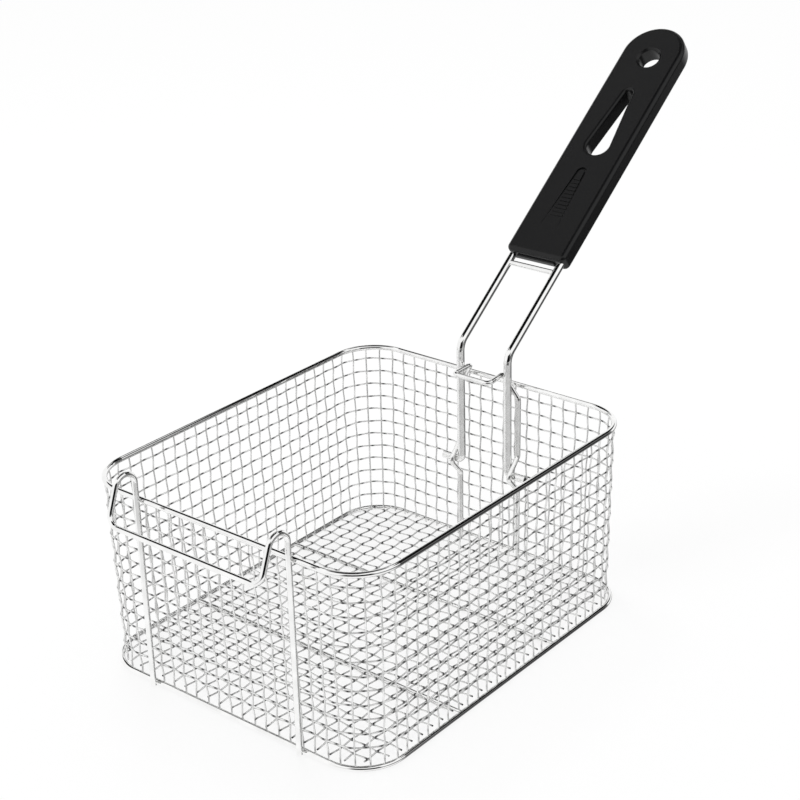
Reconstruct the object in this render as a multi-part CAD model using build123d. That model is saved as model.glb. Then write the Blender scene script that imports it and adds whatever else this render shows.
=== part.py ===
from build123d import *
import os
from math import atan, cos, degrees, pi, radians, sin, sqrt, tan

# Wire fryer basket with a fold-in handle. Millimetres, +Z up.
# Origin: centre of the basket's footprint on the surface it stands on.
# The hanging hook is on the -Y end and the handle on the +Y end.

os.makedirs("parts", exist_ok=True)

# Basket
BASKET_LENGTH = 222.0       # Y, centre line of the two hoops
BASKET_WIDTH = 184.0        # X, centre line of the two hoops
CORNER_R = 25.0             # plan corner radius of that centre line
HOOP_RISE = 105.0           # base hoop centre up to rim hoop centre
RIM_D = 3.0
BASE_D = 2.6
MESH_PITCH = 8.0
MESH_D = 0.9                # woven wire; walls and floor are two wires thick
FLOOR_BAR_Y = 40.0          # the bars under the floor, either side of the middle

# Hanging hook
HOOK_D = 3.0
HOOK_HALF = 50.3            # upright to the middle of the basket
HOOK_ABOVE_RIM = 17.2       # top of the arch over the rim, centre to centre
HOOK_DROP = 21.8            # top of the arch down to the bar
HOOK_LEAN = 21.0            # outward lean of the outer legs, degrees
HOOK_BEND_R = 6.4

# Handle bracket
BRACKET_D = 2.8
POCKET_ANGLE = 48.0         # flanks of the foot pocket above and below the horizontal
LOOP_LENGTH = 14.8          # keeper loop, inwards over the basket
LOOP_ABOVE_RIM = 6.0
LOOP_FLARE = 1.2            # the loop is this much wider, each side, at its inner end
BRACKET_BEND_R = 2.8

# Handle wire
HANDLE_D = 4.5
LEG_HALF = 16.2             # leg to the middle
LEG_IN = 7.9                # leg inside the hoops' centre line
FOOT_OUT = 7.1              # foot beyond the bracket
FOOT_BEND_R = 3.0
FOOT_UP = 52.3              # foot above the base hoop centre
LEG_RISE = 71.9             # foot to the upper bend
HANDLE_SLOPE = 37.2         # grip above the horizontal, degrees
CROSS_BAR_D = 3.0
CROSS_BAR_GAP = 3.2         # between the cross bar and the grip's lip

# Grip
GRIP_AT = 63.0              # upper bend to the grip
GRIP_LENGTH = 169.0
GRIP_WALL = 1.25            # plastic outside the wire at its edges
GRIP_THICK = 10.8
GRIP_EDGE_R = 2.7
GRIP_CORNER_R = 3.4
HOLE_D = 13.0
HOLE_CHAMFER = 1.2
HOLE_FROM_TOP = 23.5
SLOT_WIDE_D = 14.2
SLOT_NARROW_D = 4.8
SLOT_EDGE_R = 2.0
SLOT_WIDE_AT = 79.9         # lower end of the grip to the wide end's centre
SLOT_WALL = 2.15            # plastic between the slot and the turn of the wire
HOLE_WEB = 18.2             # plastic between the slot and the hole
TONGUE_AT = 18.0            # lower end of the grip to the foot of the ribbed tongue
TONGUE_LENGTH = 44.5
TONGUE_WIDTH = 13.0         # at its foot, groove included
TONGUE_TIP_D = 6.6
GROOVE_WIDTH = 1.6
GROOVE_DEPTH = 0.9          # at the tip; the groove runs out at the foot
RIB_PITCH = 2.6
RIB_DEPTH = 0.35
LIP_LENGTH = 1.0
LIP_THICK = 2.8

RUN = 0.3                   # clearance between the moving wire and what guides it
SEAT = 0.02                 # gap at faces that are welded or moulded together

# Derived sizes
HALF_L = BASKET_LENGTH / 2
HALF_W = BASKET_WIDTH / 2
RUN_X = HALF_W - CORNER_R
RUN_Y = HALF_L - CORNER_R
ARC = CORNER_R * pi / 2
BASE_Z = BASE_D / 2
RIM_Z = BASE_Z + HOOP_RISE
MESH_IN = BASE_Z + MESH_D               # mesh mid line inside the base hoop's centre line
MESH_TOP = RIM_Z - RIM_D / 2            # uprights end under the rim
WIRE_S = MESH_D * sqrt(pi) / 2          # square wire with the round wire's area
FLOOR_Z = BASE_D + MESH_D               # middle of the woven floor
LEG_Y = HALF_L - LEG_IN
FOOT_Z = BASE_Z + FOOT_UP
LEG_TOP_Z = FOOT_Z + LEG_RISE
BRACKET_HALF = LEG_HALF + (HANDLE_D + BRACKET_D) / 2 + RUN
CROSS_BAR_AT = GRIP_AT - LIP_LENGTH - CROSS_BAR_GAP - CROSS_BAR_D / 2
GRIP_WIDTH = 2 * (LEG_HALF + HANDLE_D / 2 + GRIP_WALL)
WIRE_INSIDE = SLOT_WIDE_AT - SLOT_WIDE_D / 2 - SLOT_WALL - HANDLE_D / 2
HOLE_AT = GRIP_LENGTH - HOLE_FROM_TOP
SLOT_NARROW_AT = HOLE_AT - HOLE_D / 2 - HOLE_WEB - SLOT_NARROW_D / 2
SUPPORT_FOOT_Y = HALF_L - MESH_IN - MESH_D - BRACKET_D / 2 - SEAT
SUPPORT_TOP_Y = HALF_L - (RIM_D + BRACKET_D) / 2 - SEAT


def mesh_inset(z):
    """Mesh mid line inside the hoops' centre line at height z."""
    return MESH_IN * (MESH_TOP - z) / (MESH_TOP - BASE_Z)


def around(s):
    """Walk s along the hoops' centre line from the middle of the back.
    Gives x, y and the outward direction in degrees."""
    x, y, heading = 0.0, HALF_L, 180.0
    sides = [(RUN_X, 0), (ARC, 90), (2 * RUN_Y, 0), (ARC, 90), (2 * RUN_X, 0)]
    sides += [(ARC, 90), (2 * RUN_Y, 0), (ARC, 90), (RUN_X, 0)]
    for length, turn in sides:
        step = min(s, length)
        half = radians(turn * step / length / 2)
        chord = 2 * CORNER_R * sin(half) if turn else step
        x += chord * cos(radians(heading) + half)
        y += chord * sin(radians(heading) + half)
        heading += turn * step / length
        s -= step
        if s <= 0:
            break
    return x, y, heading - 90


def side_of(x, y):
    ends = ("back" if y > 0 else "front") if abs(y) > RUN_Y + 1e-6 else ""
    flanks = ("right" if x > 0 else "left") if abs(x) > RUN_X + 1e-6 else ""
    if ends and flanks:
        return f"{ends}_{flanks}_corner"
    return ends or flanks


def round_wire(path, diameter):
    return sweep(Plane(origin=path @ 0, z_dir=path % 0) * Circle(diameter / 2), path=path)


def hoop(z, diameter):
    outline = RectangleRounded(BASKET_WIDTH, BASKET_LENGTH, CORNER_R).face().outer_wire()
    return round_wire(outline.moved(Location((0, 0, z))), diameter)


def bent_wire(points, radii, diameter):
    return round_wire(FilletPolyline(*points, radius=radii), diameter)


def mirrored(points):
    """The points, then their mirror image across the middle of the basket."""
    return points + [(-x, y, z) for x, y, z in reversed(points)]


def square_bar(start, end, face):
    """Square wire from start to end with one side facing the direction given."""
    start, end = Vector(*start), Vector(*end)
    axis = end - start
    place = Plane(origin=(start + end) * 0.5, x_dir=Vector(*face).cross(axis), z_dir=axis)
    return place * Box(WIRE_S, WIRE_S, axis.length)


def save(shapes, name):
    shape = Compound(children=shapes) if isinstance(shapes, list) else shapes
    export_step(shape, f"parts/{name}.step")


# Hoops
rim = hoop(RIM_Z, RIM_D)
base = hoop(BASE_Z, BASE_D)
save(rim, "rim_hoop")
save(base, "base_hoop")

# Wall mesh: uprights on the outside, rings on the inside, leaning in towards the base
perimeter = 4 * (RUN_X + RUN_Y) + 4 * ARC
count = 2 * round(perimeter / MESH_PITCH / 2)
walls = {}
for i in range(count):
    x, y, out = around(i * perimeter / count)
    nx, ny = cos(radians(out)), sin(radians(out))
    over_bar = abs(abs(y) - FLOOR_BAR_Y) < (BASE_D + MESH_D) / 2 + SEAT
    low = BASE_D + 2 * SEAT if over_bar else BASE_Z / 2
    foot = WIRE_S / 2 - mesh_inset(low)
    head = WIRE_S / 2 - mesh_inset(MESH_TOP)
    bar = square_bar(
        (x + nx * foot, y + ny * foot, low),
        (x + nx * head, y + ny * head, MESH_TOP - 2 * SEAT),
        (nx, ny, 0),
    )
    walls.setdefault(side_of(x, y), []).append(bar)
for side, bars in walls.items():
    save(bars, f"{side}_uprights")

rings = []
z = FLOOR_Z + MESH_PITCH
while z < MESH_TOP - MESH_PITCH / 3:
    outer = 2 * (mesh_inset(z - WIRE_S / 2) + SEAT)
    inner = outer + 2 * WIRE_S
    ring = RectangleRounded(BASKET_WIDTH - outer, BASKET_LENGTH - outer, CORNER_R - outer / 2)
    ring -= RectangleRounded(BASKET_WIDTH - inner, BASKET_LENGTH - inner, CORNER_R - inner / 2)
    rings.append(Pos(0, 0, z - WIRE_S / 2) * extrude(ring, WIRE_S))
    z += MESH_PITCH
save(rings, "wall_rings")

# Floor mesh, resting on two bars that butt against the base hoop
floor_x = HALF_W - MESH_IN - SEAT
floor_y = HALF_L - MESH_IN - SEAT
floor_r = CORNER_R - MESH_IN - SEAT


def floor_reach(across, half_across, half_along):
    """Half length of a floor wire at this distance from the floor's middle."""
    into_corner = across + WIRE_S / 2 - (half_across - floor_r)
    if into_corner <= 0:
        return half_along
    return half_along - floor_r + sqrt(floor_r**2 - into_corner**2)


def floor_spots(half_across):
    cells = round(2 * half_across / MESH_PITCH)
    return [(i / cells * 2 - 1) * half_across for i in range(1, cells)]


lengthwise = []
for x in floor_spots(floor_x):
    reach = floor_reach(abs(x), floor_x, floor_y)
    back = reach
    if abs(abs(x) - BRACKET_HALF) < (BRACKET_D + MESH_D) / 2 + RUN:
        back = min(reach, SUPPORT_FOOT_Y - BRACKET_D / 2 - RUN)
    level = FLOOR_Z - WIRE_S / 2
    lengthwise.append(square_bar((x, -reach, level), (x, back, level), (0, 0, 1)))
crosswise = []
for y in floor_spots(floor_y):
    reach = floor_reach(abs(y), floor_y, floor_x)
    level = FLOOR_Z + WIRE_S / 2
    crosswise.append(square_bar((-reach, y, level), (reach, y, level), (0, 0, 1)))
save(lengthwise, "floor_lengthwise_wires")
save(crosswise, "floor_crosswise_wires")

bars = []
for y in (-FLOOR_BAR_Y, FLOOR_BAR_Y):
    bar = Pos(0, y, BASE_Z) * Rot(0, 90, 0) * Cylinder(BASE_D / 2, BASKET_WIDTH)
    bars.append((bar - base).solid())
save(bars, "floor_support_bars")

# Hanging hook: uprights outside the front wall, over the rim, down to a bar
hook_y = -HALF_L - (RIM_D + HOOK_D) / 2 - SEAT
arch_z = RIM_Z + HOOK_ABOVE_RIM
turn = radians(90 - HOOK_LEAN)
arch_y = hook_y - HOOK_BEND_R * (1 + tan(turn / 2)) - 0.1
bar_y = arch_y - HOOK_DROP * tan(radians(HOOK_LEAN))
hook_path = [
    (-HOOK_HALF, hook_y, BASE_Z / 2),
    (-HOOK_HALF, hook_y, arch_z),
    (-HOOK_HALF, arch_y, arch_z),
    (-HOOK_HALF, bar_y, arch_z - HOOK_DROP),
]
save(bent_wire(mirrored(hook_path), HOOK_BEND_R, HOOK_D), "hanging_hook")

# Handle bracket: one wire up the inside of the back wall, with a pocket for each foot
# and a keeper loop between the handle's legs
bracket_r = BRACKET_D / 2
support_lean = (SUPPORT_TOP_Y - SUPPORT_FOOT_Y) / (RIM_Z - BASE_Z)


def support_y(z):
    return SUPPORT_FOOT_Y + support_lean * (z - BASE_Z)


flank = radians(POCKET_ANGLE)
pocket_y = LEG_Y - (HANDLE_D / 2 + bracket_r + RUN) / sin(flank)
pocket_rise = (support_y(FOOT_Z) - pocket_y) * tan(flank)
loop_half = LEG_HALF - HANDLE_D / 2 - RUN - bracket_r
loop_y = SUPPORT_TOP_Y - 2.1
loop_z = RIM_Z + LOOP_ABOVE_RIM
bracket_path = [
    (BRACKET_HALF, SUPPORT_FOOT_Y, BASE_Z / 2),
    (BRACKET_HALF, support_y(FOOT_Z - pocket_rise), FOOT_Z - pocket_rise),
    (BRACKET_HALF, pocket_y, FOOT_Z),
    (BRACKET_HALF, support_y(FOOT_Z + pocket_rise), FOOT_Z + pocket_rise),
    (BRACKET_HALF, support_y(RIM_Z - 7), RIM_Z - 7),
    (loop_half - LOOP_FLARE, loop_y, loop_z + 0.8),
    (loop_half, loop_y - LOOP_LENGTH, loop_z),
]
bracket = bent_wire(mirrored(bracket_path), BRACKET_BEND_R, BRACKET_D)
save(bracket, "handle_bracket")

# Handle wire: feet, legs, the slope, and the turn inside the grip
slope = radians(HANDLE_SLOPE)
grip_plane = Plane(
    origin=(0, LEG_Y, LEG_TOP_Z), x_dir=(1, 0, 0), z_dir=(0, -sin(slope), cos(slope))
)
inside = GRIP_AT + WIRE_INSIDE
handle_path = [
    (BRACKET_HALF + BRACKET_D / 2 + FOOT_OUT, LEG_Y, FOOT_Z),
    (LEG_HALF, LEG_Y, FOOT_Z),
    (LEG_HALF, LEG_Y, LEG_TOP_Z),
    (LEG_HALF, LEG_Y + inside * cos(slope), LEG_TOP_Z + inside * sin(slope)),
]
leg_radii = [FOOT_BEND_R, 9.0, 6.0]
handle = bent_wire(mirrored(handle_path), leg_radii + leg_radii[::-1], HANDLE_D)
save(handle, "handle_wire")

cross_bar = grip_plane * Pos(0, CROSS_BAR_AT, 0) * Rot(0, 90, 0) * Cylinder(
    CROSS_BAR_D / 2, 2 * LEG_HALF
)
save((cross_bar - handle).solid(), "handle_cross_bar")

# Grip: flat bar with a round top, moulded over the wire


def tapered_slot(wide_d, wide_at, narrow_d, narrow_at):
    ends = Pos(0, wide_at) * Circle(wide_d / 2) + Pos(0, narrow_at) * Circle(narrow_d / 2)
    return make_hull(ends.edges())


half_w = GRIP_WIDTH / 2
half_t = GRIP_THICK / 2
straight = GRIP_LENGTH - half_w
outline = Pos(0, straight / 2) * Rectangle(GRIP_WIDTH, straight)
outline = fillet(outline.vertices().group_by(Axis.Y)[0], GRIP_CORNER_R)
outline += Pos(0, straight) * Circle(half_w)
grip = extrude(outline, half_t, both=True)
face_edges = [e for e in grip.edges() if abs(abs(e.center().Z) - half_t) < 1e-3]
grip = fillet(face_edges, GRIP_EDGE_R)

# Finger slot and hang hole, both right through
slot = tapered_slot(SLOT_WIDE_D, SLOT_WIDE_AT, SLOT_NARROW_D, SLOT_NARROW_AT)
hole = Pos(0, HOLE_AT) * Circle(HOLE_D / 2)
for opening in (slot, hole):
    before = grip.edges()
    grip -= extrude(opening, half_t, both=True)
    mouths = [e for e in grip.edges() - before if abs(abs(e.center().Z) - half_t) < 1e-3]
    grip = fillet(mouths, SLOT_EDGE_R) if opening is slot else chamfer(mouths, HOLE_CHAMFER)

# Ribbed tongue in the upper face. The groove round it is deepest at the tip


def tongue_outline(inset):
    foot_x = TONGUE_WIDTH / 2 - 0.5 - inset
    feet = Pos(-foot_x, TONGUE_AT) * Circle(0.5) + Pos(foot_x, TONGUE_AT) * Circle(0.5)
    tip_r = TONGUE_TIP_D / 2
    tip = Pos(0, TONGUE_AT + TONGUE_LENGTH - tip_r) * Circle(tip_r - inset)
    return make_hull((feet + tip).edges())


groove = extrude(tongue_outline(0), GROOVE_DEPTH + 1)
tongue = extrude(tongue_outline(GROOVE_WIDTH), GROOVE_DEPTH)
rib_count = int(TONGUE_LENGTH * 0.7 / RIB_PITCH)
for i in range(rib_count):
    rib_y = TONGUE_AT + TONGUE_LENGTH * 0.2 + i * RIB_PITCH
    tongue -= Pos(0, rib_y, GROOVE_DEPTH) * Box(TONGUE_WIDTH, RIB_PITCH / 2, 2 * RIB_DEPTH)
run_out = Rot(degrees(-atan(GROOVE_DEPTH / TONGUE_LENGTH)), 0, 0) * Pos(0, TONGUE_LENGTH, 5) * Box(
    2 * TONGUE_WIDTH, 2 * TONGUE_LENGTH, 10
)
groove = (groove - tongue) & (Pos(0, TONGUE_AT, GROOVE_DEPTH) * run_out)
grip -= Pos(0, 0, half_t - GROOVE_DEPTH) * groove

# Lip between the legs at the lower end
lip_width = 2 * LEG_HALF - HANDLE_D - 3
lip = Box(lip_width, 2 * LIP_LENGTH, LIP_THICK)
grip += fillet(lip.edges().filter_by(Axis.X), 0.6)

grip = grip_plane * Pos(0, GRIP_AT, 0) * grip
grip -= bent_wire(mirrored(handle_path), leg_radii + leg_radii[::-1], HANDLE_D + 2 * SEAT)
save(grip.solid(), "handle_grip")
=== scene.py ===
from math import cos, pi, radians, sin, sqrt

import bpy
from mathutils import Matrix, Vector


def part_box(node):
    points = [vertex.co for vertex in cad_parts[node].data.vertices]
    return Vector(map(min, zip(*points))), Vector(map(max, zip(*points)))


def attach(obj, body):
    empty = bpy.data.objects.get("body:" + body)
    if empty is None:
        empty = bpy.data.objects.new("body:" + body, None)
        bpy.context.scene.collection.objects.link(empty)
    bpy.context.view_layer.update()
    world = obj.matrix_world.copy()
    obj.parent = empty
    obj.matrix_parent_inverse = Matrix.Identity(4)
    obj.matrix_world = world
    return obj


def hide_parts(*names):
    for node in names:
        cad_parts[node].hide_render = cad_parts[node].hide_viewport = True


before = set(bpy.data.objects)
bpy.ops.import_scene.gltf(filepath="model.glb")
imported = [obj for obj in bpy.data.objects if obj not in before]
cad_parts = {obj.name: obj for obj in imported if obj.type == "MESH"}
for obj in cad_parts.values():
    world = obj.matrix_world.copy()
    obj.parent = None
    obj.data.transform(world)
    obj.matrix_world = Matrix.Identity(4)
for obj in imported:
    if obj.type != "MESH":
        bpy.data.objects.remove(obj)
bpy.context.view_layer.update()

MM = 0.001
TINY = 1e-6                 # slack when two lengths are compared

# ---------------------------------------------------------------- sizes of the basket
MESH_PITCH = 8.0 * MM
MESH_D = 0.9 * MM           # woven wire
CRIMP = 0.38 * MESH_D       # sway of a wire, a little sunk into those it passes over or under
INTO_RIM = 0.3 * MM         # how far the uprights run up into the rim hoop
CORNER_R = 25.0 * MM        # hoops' centre line
STEPS = 4                   # lengths of wire drawn between one crossing and the next
SIDES = 8                   # flats around a woven wire
SMOOTH_ANGLE = radians(50)  # sharper edges, such as a wire's cut end, stay sharp

rim_low, rim_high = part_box("rim_hoop")
base_low, base_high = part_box("base_hoop")
RIM_D = rim_high.z - rim_low.z
BASE_D = base_high.z - base_low.z
HALF_W = rim_high.x - RIM_D / 2
HALF_L = rim_high.y - RIM_D / 2
RUN_X = HALF_W - CORNER_R
RUN_Y = HALF_L - CORNER_R
ARC = CORNER_R * pi / 2
PERIMETER = 4 * (RUN_X + RUN_Y + ARC)
BASE_Z = BASE_D / 2
MESH_IN = BASE_Z + MESH_D
MESH_TOP = rim_low.z
FLOOR_Z = BASE_D + MESH_D
UPRIGHTS = 2 * round(PERIMETER / MESH_PITCH / 2)
RING_LEVELS = [
    FLOOR_Z + (i + 1) * MESH_PITCH
    for i in range(round((MESH_TOP - FLOOR_Z) / MESH_PITCH) - 1)
]


def mesh_inset(z):
    """Middle of the wall mesh inside the hoops' centre line at height z."""
    return MESH_IN * (MESH_TOP - z) / (MESH_TOP - BASE_Z)


def around(s):
    """The point at length s along the hoops' centre line, from the middle of the back towards
    the left, and the outward direction there in radians."""
    x, y, heading = 0.0, HALF_L, pi
    sides = [(RUN_X, 0), (ARC, pi / 2), (2 * RUN_Y, 0), (ARC, pi / 2), (2 * RUN_X, 0)]
    sides += [(ARC, pi / 2), (2 * RUN_Y, 0), (ARC, pi / 2), (RUN_X, 0)]
    for length, turn in sides:
        step = min(s, length)
        half = turn * step / length / 2
        chord = 2 * CORNER_R * sin(half) if turn else step
        x += chord * cos(heading + half)
        y += chord * sin(heading + half)
        heading += turn * step / length
        s -= step
        if s <= 0:
            break
    return x, y, heading - pi / 2


def side_of(x, y):
    """The wall or corner that a point of the centre line is in."""
    ends = ("back" if y > 0 else "front") if abs(y) > RUN_Y + TINY else ""
    flanks = ("right" if x > 0 else "left") if abs(x) > RUN_X + TINY else ""
    if ends and flanks:
        return f"{ends}_{flanks}_corner"
    return ends or flanks


# ---------------------------------------------------------------- finishes


def new_node(tree, kind, at, **settings):
    """A node at this place in the editor, with its options and input values set."""
    node = tree.nodes.new(kind)
    node.location = at
    for name, value in settings.items():
        if hasattr(node, name):
            setattr(node, name, value)
        else:
            node.inputs[name].default_value = value
    return node


CROSSING = "crossing"       # attribute: painted shade along a woven wire, most at each crossing, where the wires shade each other
# how much painted shade the uprights, and the rings and floor wires, get at their crossings
UPRIGHT_CROSSING_SHADE = 0.25
LEVEL_CROSSING_SHADE = 1.0         # for rings and floor wires


def plating_group():
    """Electroplated wire: cloudy tone, fine pits, a slightly uneven polish, and painted shade
    where wires cross, which darkens the colour there in place of the shadow between the wires."""
    group = bpy.data.node_groups.new("plating", "ShaderNodeTree")
    sockets = group.interface
    for name, kind, value in (
        ("Bright", "NodeSocketColor", (0.9, 0.9, 0.89, 1)),
        ("Cloudy", "NodeSocketColor", (0.7, 0.7, 0.69, 1)),
        ("Polish", "NodeSocketFloat", 0.1),
        ("Haze", "NodeSocketFloat", 0.2),
        ("Pits", "NodeSocketFloat", 0.1),
        ("Shade colour", "NodeSocketColor", (0.1, 0.1, 0.1, 1)),
        ("Painted shade", "NodeSocketFloat", 0.0),
    ):
        socket = sockets.new_socket(name=name, in_out="INPUT", socket_type=kind)
        socket.default_value = value
    sockets.new_socket(name="Colour", in_out="OUTPUT", socket_type="NodeSocketColor")
    sockets.new_socket(name="Roughness", in_out="OUTPUT", socket_type="NodeSocketFloat")
    sockets.new_socket(name="Normal", in_out="OUTPUT", socket_type="NodeSocketVector")
    given = new_node(group, "NodeGroupInput", (-900, 0))
    result = new_node(group, "NodeGroupOutput", (700, 0))
    place = new_node(group, "ShaderNodeTexCoord", (-900, 300))
    clouds = new_node(group, "ShaderNodeTexNoise", (-600, 300), Scale=140.0, Detail=3.0)
    pits = new_node(group, "ShaderNodeTexNoise", (-600, 0), Scale=2600.0, Detail=2.0)
    tone = new_node(group, "ShaderNodeMix", (0, 200), data_type="RGBA")
    polish = new_node(group, "ShaderNodeMapRange", (0, -50))
    spread = new_node(group, "ShaderNodeMapRange", (-300, 300))
    spread.inputs["From Min"].default_value = 0.35
    spread.inputs["From Max"].default_value = 0.65
    crossing_shaded = new_node(group, "ShaderNodeMix", (300, 200), data_type="RGBA")
    bump = new_node(group, "ShaderNodeBump", (300, -250), Distance=0.05 * MM)
    link = group.links.new
    for noise in (clouds, pits):
        link(place.outputs["Object"], noise.inputs["Vector"])
    link(clouds.outputs["Fac"], spread.inputs["Value"])
    link(spread.outputs["Result"], tone.inputs["Factor"])
    link(given.outputs["Cloudy"], tone.inputs["A"])
    link(given.outputs["Bright"], tone.inputs["B"])
    link(pits.outputs["Fac"], polish.inputs["Value"])
    link(given.outputs["Polish"], polish.inputs["To Min"])
    link(given.outputs["Haze"], polish.inputs["To Max"])
    link(pits.outputs["Fac"], bump.inputs["Height"])
    link(given.outputs["Pits"], bump.inputs["Strength"])
    # painted shade: the shade colour is mixed into the tone where wires cross
    link(given.outputs["Painted shade"], crossing_shaded.inputs["Factor"])
    link(tone.outputs["Result"], crossing_shaded.inputs["A"])
    link(given.outputs["Shade colour"], crossing_shaded.inputs["B"])
    link(crossing_shaded.outputs["Result"], result.inputs["Colour"])
    link(polish.outputs["Result"], result.inputs["Roughness"])
    link(bump.outputs["Normal"], result.inputs["Normal"])
    return group


def plated_metal(name, plating, bright, cloudy, polish, haze, pits, metallic=1.0, shade_colour=None):
    """Plating in these tones; with a shade colour, painted shade darkens it at the wire's
    crossings.
    """
    material = bpy.data.materials.new(name)
    material.use_nodes = True
    tree = material.node_tree
    metal = tree.nodes["Principled BSDF"]
    metal.inputs["Metallic"].default_value = metallic
    finish = new_node(tree, "ShaderNodeGroup", (-400, 0), node_tree=plating)
    finish.inputs["Bright"].default_value = (*bright, 1)
    finish.inputs["Cloudy"].default_value = (*cloudy, 1)
    finish.inputs["Polish"].default_value = polish
    finish.inputs["Haze"].default_value = haze
    finish.inputs["Pits"].default_value = pits
    # the shade colour is painted shade, laid on where the wires cross
    if shade_colour:
        painted_shade = new_node(tree, "ShaderNodeAttribute", (-700, 0), attribute_name=CROSSING)
        finish.inputs["Shade colour"].default_value = (*shade_colour, 1)
        tree.links.new(painted_shade.outputs["Fac"], finish.inputs["Painted shade"])
    tree.links.new(finish.outputs["Colour"], metal.inputs["Base Color"])
    tree.links.new(finish.outputs["Roughness"], metal.inputs["Roughness"])
    tree.links.new(finish.outputs["Normal"], metal.inputs["Normal"])
    return material


def grip_plastic():
    """Satin black moulded plastic with a fine stipple and faint flow marks."""
    material = bpy.data.materials.new("satin_black_plastic")
    material.use_nodes = True
    tree = material.node_tree
    skin = tree.nodes["Principled BSDF"]
    skin.inputs["IOR"].default_value = 1.5
    skin.inputs["Specular IOR Level"].default_value = 0.3
    place = new_node(tree, "ShaderNodeTexCoord", (-1100, 0))
    stipple = new_node(tree, "ShaderNodeTexNoise", (-800, -200), Scale=1500.0, Detail=3.0)
    flow = new_node(tree, "ShaderNodeTexNoise", (-800, 200), Scale=45.0, Detail=4.0)
    tone = new_node(tree, "ShaderNodeMix", (-400, 250), data_type="RGBA")
    tone.inputs["A"].default_value = (0.0030, 0.0030, 0.0034, 1)
    tone.inputs["B"].default_value = (0.0060, 0.0060, 0.0064, 1)
    sheen = new_node(tree, "ShaderNodeMapRange", (-400, 0))
    sheen.inputs["To Min"].default_value = 0.24
    sheen.inputs["To Max"].default_value = 0.34
    bump = new_node(tree, "ShaderNodeBump", (-400, -300), Strength=0.25, Distance=0.08 * MM)
    link = tree.links.new
    link(place.outputs["Object"], stipple.inputs["Vector"])
    link(place.outputs["Object"], flow.inputs["Vector"])
    link(flow.outputs["Fac"], tone.inputs["Factor"])
    link(flow.outputs["Fac"], sheen.inputs["Value"])
    link(stipple.outputs["Fac"], bump.inputs["Height"])
    link(tone.outputs["Result"], skin.inputs["Base Color"])
    link(sheen.outputs["Result"], skin.inputs["Roughness"])
    link(bump.outputs["Normal"], skin.inputs["Normal"])
    return material


plating = plating_group()
FRAME_METAL = plated_metal(
    "bright_plated_wire", plating,
    bright=(0.97, 0.97, 0.965), cloudy=(0.88, 0.88, 0.875),
    polish=0.02, haze=0.05, pits=0.02,
)
# the mesh wire's near-black shade colour is painted shade at its crossings
MESH_METAL = plated_metal(
    "plated_mesh_wire", plating,
    bright=(0.94, 0.94, 0.935), cloudy=(0.80, 0.80, 0.795), shade_colour=(0.01, 0.01, 0.01),
    polish=0.16, haze=0.28, pits=0.04, metallic=0.7,
)
GRIP_PLASTIC = grip_plastic()


def finish_in(piece, material):
    piece.data.materials.clear()
    piece.data.materials.append(material)


for name in (
    "rim_hoop", "base_hoop", "floor_support_bars", "hanging_hook", "handle_bracket",
    "handle_wire", "handle_cross_bar",
):
    finish_in(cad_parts[name], FRAME_METAL)
finish_in(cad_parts["handle_grip"], GRIP_PLASTIC)


# ---------------------------------------------------------------- woven mesh


def deselect_all():
    bpy.ops.object.select_all(action="DESELECT")


def draw_wire(name, steps, start):
    """Draws a round wire from start, one length for each step."""
    deselect_all()
    bpy.ops.mesh.primitive_circle_add(
        vertices=SIDES, radius=MESH_D / 2, fill_type="NGON", location=start
    )
    wire = bpy.context.object
    wire.name = name
    bpy.ops.object.transform_apply(location=True, rotation=True, scale=True)
    bpy.ops.object.mode_set(mode="EDIT")
    bpy.ops.mesh.select_all(action="SELECT")
    for step in steps:
        bpy.ops.mesh.extrude_region_move(TRANSFORM_OT_translate={"value": step})
    bpy.ops.mesh.select_all(action="SELECT")
    bpy.ops.mesh.normals_make_consistent(inside=False)
    bpy.ops.object.mode_set(mode="OBJECT")
    return wire


def crimped_wire(name, low, high, crossing, pitch, side, crossing_shade, lean=lambda z: 0.0):
    """An upright wire that sways to this side at one crossing and to the other at the next,
    and carries this much painted shade at each of them, in place of the shadow where wires
    cross."""
    levels = [low]
    step = pitch / STEPS
    level = crossing - step * int((crossing - low) / step - TINY)
    while level < high - step / 4:
        if level > low + step / 4:
            levels.append(level)
        level += step
    levels.append(high)
    sway = [lean(z) + side * CRIMP * cos(pi * (z - crossing) / pitch) for z in levels]
    steps = [
        (sway[i + 1] - sway[i], 0, levels[i + 1] - levels[i]) for i in range(len(levels) - 1)
    ]
    wire = draw_wire(name, steps, (sway[0], 0, low))
    # each vertex gets painted shade, most at a crossing and none a step away
    painted_shade = wire.data.attributes.new(CROSSING, "FLOAT", "POINT")
    for vertex, mark in zip(wire.data.vertices, painted_shade.data):
        away = abs((vertex.co.z - crossing + pitch / 2) % pitch - pitch / 2)
        mark.value = crossing_shade * max(0.0, 1 - away / step)
    return wire


def place_copy(pattern, place):
    """A copy with its own mesh, moved to this place in the mesh itself."""
    copy = pattern.copy()
    copy.data = pattern.data.copy()
    copy.data.transform(place)
    bpy.context.collection.objects.link(copy)
    return copy


def discard(*pieces):
    for piece in pieces:
        mesh = piece.data
        bpy.data.objects.remove(piece)
        bpy.data.meshes.remove(mesh)


def gather(pieces, name, node):
    """Joins the wires of one wall or layer and puts them in the CAD node's place."""
    deselect_all()
    for piece in pieces:
        piece.select_set(True)
    bpy.context.view_layer.objects.active = pieces[0]
    if len(pieces) > 1:
        bpy.ops.object.join()
    layer = bpy.context.view_layer.objects.active
    layer.name = name
    layer.data.name = name
    bpy.ops.object.shade_smooth_by_angle(angle=SMOOTH_ANGLE)
    finish_in(layer, MESH_METAL)
    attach(layer, "basket")
    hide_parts(node)


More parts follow.
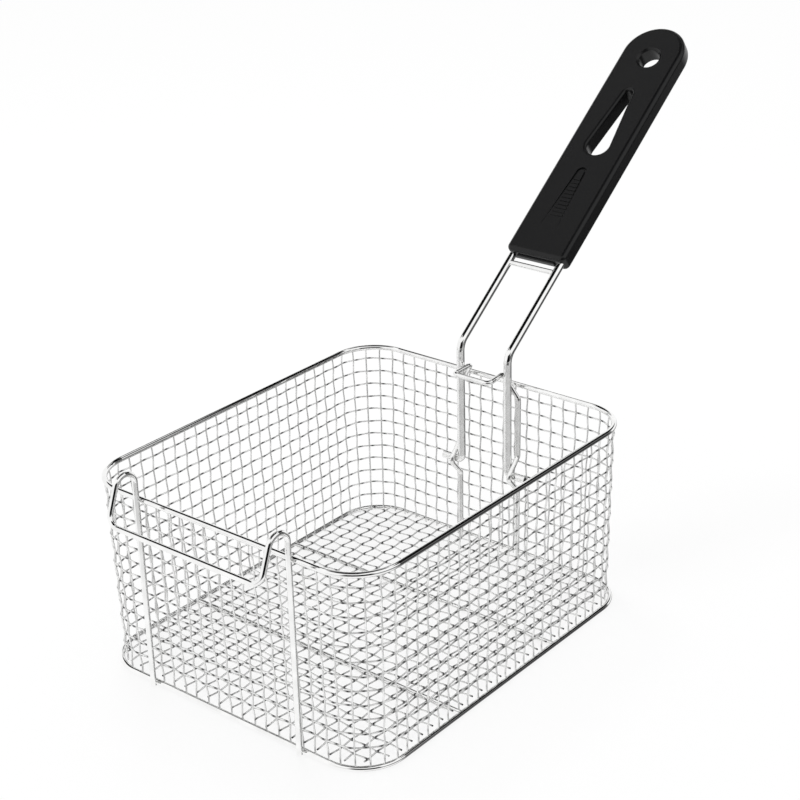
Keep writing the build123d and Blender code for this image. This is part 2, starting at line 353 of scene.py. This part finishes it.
# Uprights: patterns that start on opposite sides, in the length that ends in the base hoop and
# the shorter one that ends on a floor bar, copied round the basket
bar_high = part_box("floor_support_bars")[1]
bar_y = bar_high.y - BASE_D / 2
in_hoop = BASE_Z / 2
on_bar = BASE_D
patterns = {
    (side, low): crimped_wire(
        "upright_pattern", low, MESH_TOP + INTO_RIM, RING_LEVELS[0], MESH_PITCH, side,
        UPRIGHT_CROSSING_SHADE, lean=lambda z: -mesh_inset(z),
    )
    for side in (-1, 1)
    for low in (in_hoop, on_bar)
}
walls = {}
for i in range(UPRIGHTS):
    x, y, outward = around(i * PERIMETER / UPRIGHTS)
    over_bar = abs(abs(y) - bar_y) < (BASE_D + MESH_D) / 2
    low = on_bar if over_bar else in_hoop
    place = Matrix.Translation((x, y, 0)) @ Matrix.Rotation(outward, 4, "Z")
    upright = place_copy(patterns[(-1) ** i, low], place)
    walls.setdefault(side_of(x, y), []).append(upright)
discard(*patterns.values())
for side, uprights in walls.items():
    gather(uprights, f"woven_{side}_uprights", f"{side}_uprights")

# Rings: a straight crimped wire bent round the hoops' centre line
wall_pitch = PERIMETER / UPRIGHTS
line = bpy.data.curves.new("hoop_line", "CURVE")
line.dimensions = "2D"
run = line.splines.new("POLY")
run.points.add(UPRIGHTS * STEPS - 1)
for i, point in enumerate(run.points):
    x, y = around(i * wall_pitch / STEPS)[:2]
    point.co = (x, y, 0, 1)
run.use_cyclic_u = True
hoop_line = bpy.data.objects.new("hoop_line", line)
bpy.context.collection.objects.link(hoop_line)
rings = []
for k, level in enumerate(RING_LEVELS):
    ring = crimped_wire("ring", 0.0, PERIMETER, 0.0, wall_pitch, 1, LEVEL_CROSSING_SHADE)
    # lay the wire down along X, swaying across the path, and set it in from the path.
    # every other ring sways the other way
    way = -1 if k % 2 else 1
    lay = Matrix(((0, 0, 1, 0), (way, 0, 0, 0), (0, way, 0, 0), (0, 0, 0, 1)))
    ring.data.transform(Matrix.Translation((0, -mesh_inset(level), level)) @ lay)
    deselect_all()
    ring.select_set(True)
    bpy.context.view_layer.objects.active = ring
    bend = ring.modifiers.new("bend", "CURVE")
    bend.object = hoop_line
    bend.deform_axis = "POS_X"
    bpy.ops.object.modifier_apply(modifier="bend")
    rings.append(ring)
bpy.data.objects.remove(hoop_line)
bpy.data.curves.remove(line)
gather(rings, "woven_wall_rings", "wall_rings")

# Floor: two layers that pass over and under each other
FLOOR_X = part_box("floor_crosswise_wires")[1].x
FLOOR_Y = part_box("floor_lengthwise_wires")[1].y
FLOOR_R = CORNER_R - MESH_IN


def floor_reach(across, half_across, half_along):
    """Half length of a floor wire at this distance from the floor's middle."""
    into_corner = across + MESH_D / 2 - (half_across - FLOOR_R)
    if into_corner <= 0:
        return half_along
    return half_along - FLOOR_R + sqrt(FLOOR_R**2 - into_corner**2)


def floor_spots(half):
    """Places of the wires between -half and half, in whole cells."""
    cells = round(2 * half / MESH_PITCH)
    return [(i / cells * 2 - 1) * half for i in range(1, cells)]


def floor_layer(half_across, half_along, turn, first_side):
    """Wires side by side across the floor, each swaying at the other layer's spots."""
    crossings = floor_spots(half_along)
    pitch = crossings[1] - crossings[0]
    wires = []
    for i, across in enumerate(floor_spots(half_across)):
        reach = floor_reach(abs(across), half_across, half_along)
        side = first_side * (-1) ** i
        wire = crimped_wire(
            "floor_wire", -reach, reach, crossings[0], pitch, side, LEVEL_CROSSING_SHADE
        )
        # the drawn wire's height becomes the way along, and its sway the height
        lay = Matrix(((0, -1, 0, across), (0, 0, 1, 0), (-1, 0, 0, FLOOR_Z), (0, 0, 0, 1)))
        wire.data.transform(turn @ lay)
        wires.append(wire)
    return wires


along_y = Matrix.Identity(4)
along_x = Matrix(((0, 1, 0, 0), (1, 0, 0, 0), (0, 0, 1, 0), (0, 0, 0, 1)))
lengthwise = floor_layer(FLOOR_X, FLOOR_Y, along_y, 1)
crosswise = floor_layer(FLOOR_Y, FLOOR_X, along_x, -1)
gather(lengthwise, "woven_floor_lengthwise", "floor_lengthwise_wires")
gather(crosswise, "woven_floor_crosswise", "floor_crosswise_wires")


# ---------------------------------------------------------------- floor, light and camera
GROUND_SIZE = 8.0
GROUND_GLOW = 0.80          # how much of the ground is plain white to the camera


def white_ground():
    """White for the camera, with the object's shadow left in."""
    material = bpy.data.materials.new("white_ground")
    material.use_nodes = True
    tree = material.node_tree
    tree.nodes.clear()
    matt = new_node(tree, "ShaderNodeBsdfDiffuse", (-200, -100), Color=(0.9, 0.9, 0.9, 1))
    white = new_node(tree, "ShaderNodeEmission", (-200, -250), Strength=1.0)
    ray = new_node(tree, "ShaderNodeLightPath", (-500, 200))
    share = new_node(tree, "ShaderNodeMath", (-200, 200), operation="MULTIPLY")
    share.inputs[1].default_value = GROUND_GLOW
    seen = new_node(tree, "ShaderNodeMixShader", (50, 0))
    out = new_node(tree, "ShaderNodeOutputMaterial", (250, 0))
    link = tree.links.new
    link(ray.outputs["Is Camera Ray"], share.inputs[0])
    link(share.outputs[0], seen.inputs["Fac"])
    link(matt.outputs["BSDF"], seen.inputs[1])
    link(white.outputs["Emission"], seen.inputs[2])
    link(seen.outputs["Shader"], out.inputs["Surface"])
    return material


deselect_all()
bpy.ops.mesh.primitive_plane_add(size=GROUND_SIZE, location=(0, 0, 0))
ground = bpy.context.object
ground.name = "ground"
finish_in(ground, white_ground())
ground.visible_glossy = False

# Light from all round. Reflections see a white studio with dark openings in it
world = bpy.data.worlds.new("studio")
bpy.context.scene.world = world
world.use_nodes = True
tree = world.node_tree
tree.nodes.clear()
direction = new_node(tree, "ShaderNodeTexCoord", (-1700, 200))
level = new_node(tree, "ShaderNodeVectorMath", (-1500, 0), operation="MULTIPLY")
level.inputs[1].default_value = (1, 1, 0)
compass = new_node(tree, "ShaderNodeVectorMath", (-1300, 0), operation="NORMALIZE")
tree.links.new(direction.outputs["Generated"], level.inputs[0])
tree.links.new(level.outputs["Vector"], compass.inputs[0])


def studio_edge(vector, facing, start, end):
    """0 before start, 1 after end, along the facing direction."""
    along = new_node(tree, "ShaderNodeVectorMath", (-1100, 200), operation="DOT_PRODUCT")
    along.inputs[1].default_value = facing
    edge = new_node(tree, "ShaderNodeMapRange", (-900, 200), interpolation_type="SMOOTHSTEP")
    edge.inputs["From Min"].default_value = start
    edge.inputs["From Max"].default_value = end
    tree.links.new(vector, along.inputs[0])
    tree.links.new(along.outputs["Value"], edge.inputs["Value"])
    return edge.outputs["Result"]


def combine(operation, first, second):
    """A math node's result for two values, each a number or another node's output."""
    node = new_node(tree, "ShaderNodeMath", (-600, 200), operation=operation)
    for value, socket in ((first, node.inputs[0]), (second, node.inputs[1])):
        if isinstance(value, float):
            socket.default_value = value
        else:
            tree.links.new(value, socket)
    return node.outputs[0]


def sector(bearing, half_angle, soft):
    """1 within half_angle degrees of a compass bearing (from +X towards +Y)."""
    facing = (cos(radians(bearing)), sin(radians(bearing)), 0)
    start, end = cos(radians(half_angle + soft)), cos(radians(half_angle - soft))
    return studio_edge(compass.outputs["Vector"], facing, start, end)


def between(facing, low, high, soft):
    """1 where the direction reaches from low to high along the facing direction."""
    view = direction.outputs["Generated"]
    back = tuple(-part for part in facing)
    rise = studio_edge(view, facing, low - soft, low + soft)
    return combine("MULTIPLY", rise, studio_edge(view, back, -high - soft, -high + soft))


RIGHT = (1, 0, 0)
UP = (0, 0, 1)
STRAIGHT_UP = 1.50          # past the steepest direction, so nothing is cut off at that end
STRAIGHT_DOWN = -1.50
BLACK = 0.005

# each opening: where it lies across, where it lies upright, and how light it is inside
openings = [
    # under the overhead panel at the back, with the gaps below it at the left and right
    (sector(bearing=85, half_angle=38, soft=4), between(UP, 0.66, 0.775, soft=0.012), BLACK),
    (sector(bearing=161, half_angle=43, soft=4), between(UP, 0.52, 0.815, soft=0.012), BLACK),
    (sector(bearing=74, half_angle=30, soft=4), between(UP, 0.36, 0.70, soft=0.04), BLACK),
    (sector(bearing=51, half_angle=11, soft=3), between(UP, -0.30, 0.40, soft=0.05), 0.20),
    # the dark room past the table's edge, deepest at the front
    (sector(bearing=-12, half_angle=68, soft=6), between(UP, -0.24, 0.15, soft=0.05), 0.12),
    (sector(bearing=-46, half_angle=29, soft=6), between(UP, -0.35, 0.50, soft=0.05), 0.01),
    # the camera's slot in the overhead panel
    (between(RIGHT, -0.47, 0.34, soft=0.05), between(UP, 0.86, STRAIGHT_UP, soft=0.02), BLACK),
    # the table in shade towards its far side and its ends, deepest at the far right
    (
        sector(bearing=92, half_angle=40, soft=8),
        between(UP, STRAIGHT_DOWN, -0.30, soft=0.06), 0.40,
    ),
    (sector(bearing=0, half_angle=110, soft=10), between(UP, -0.47, -0.22, soft=0.04), 0.60),
    (sector(bearing=55, half_angle=17, soft=4), between(UP, -0.66, -0.26, soft=0.05), 0.15),
]
light = None
for across, upright, tone in openings:
    cover = combine("MULTIPLY", across, upright)
    kept = combine("SUBTRACT", 1.0, combine("MULTIPLY", cover, 1.0 - tone))
    light = kept if light is None else combine("MULTIPLY", light, kept)
ray = new_node(tree, "ShaderNodeLightPath", (-600, 500))
pick = new_node(tree, "ShaderNodeMix", (-250, 200), data_type="RGBA")
pick.inputs["A"].default_value = (1, 1, 1, 1)
sky = new_node(tree, "ShaderNodeBackground", (0, 200), Strength=1.0)
out = new_node(tree, "ShaderNodeOutputWorld", (200, 200))
tree.links.new(light, pick.inputs["B"])
tree.links.new(ray.outputs["Is Glossy Ray"], pick.inputs["Factor"])
tree.links.new(pick.outputs["Result"], sky.inputs["Color"])
tree.links.new(sky.outputs["Background"], out.inputs["Surface"])


SOFTBOX_PLACE = Vector((-0.5, 0.3, 1.3))
SOFTBOX_SIZE = 0.3
SOFTBOX_POWER = 3.5

# A soft light from the upper left, aimed at the basket, for the shadow. No metal mirrors it
lamp = bpy.data.lights.new("softbox_left", "AREA")
lamp.shape = "RECTANGLE"
lamp.size = lamp.size_y = SOFTBOX_SIZE
lamp.energy = SOFTBOX_POWER
softbox = bpy.data.objects.new("softbox_left", lamp)
bpy.context.collection.objects.link(softbox)
softbox.location = SOFTBOX_PLACE
softbox.rotation_euler = (-SOFTBOX_PLACE).to_track_quat("-Z", "Y").to_euler()
softbox.visible_glossy = False

VIEW_AZIMUTH = radians(40.02)
VIEW_ELEVATION = radians(24.135)
VIEW_ROLL = radians(-1.70)
VIEW_DISTANCE = 0.99167
VIEW_TARGET = Vector((-0.02487, 0.05094, 0.10754))
FOCAL_LENGTH = 81.93        # in mm, as the sensor is
SENSOR_WIDTH = 36.0
SHIFT_RIGHT = 0.0125
NEAREST_SEEN = 0.05

camera_data = bpy.data.cameras.new("camera")
camera_data.sensor_width = SENSOR_WIDTH
camera_data.lens = FOCAL_LENGTH
camera_data.shift_x = SHIFT_RIGHT
camera_data.clip_start = NEAREST_SEEN
camera = bpy.data.objects.new("camera", camera_data)
bpy.context.collection.objects.link(camera)
forward = -Vector((
    sin(VIEW_AZIMUTH) * cos(VIEW_ELEVATION),
    -cos(VIEW_AZIMUTH) * cos(VIEW_ELEVATION),
    sin(VIEW_ELEVATION),
))
right = forward.cross(Vector(UP)).normalized()
up = right.cross(forward)
right_rolled = right * cos(VIEW_ROLL) + up * sin(VIEW_ROLL)
up_rolled = up * cos(VIEW_ROLL) - right * sin(VIEW_ROLL)
turn = Matrix((right_rolled, up_rolled, -forward)).transposed().to_4x4()
camera.matrix_world = Matrix.Translation(VIEW_TARGET - forward * VIEW_DISTANCE) @ turn
bpy.context.scene.camera = camera
bpy.context.scene.view_settings.view_transform = "Standard"
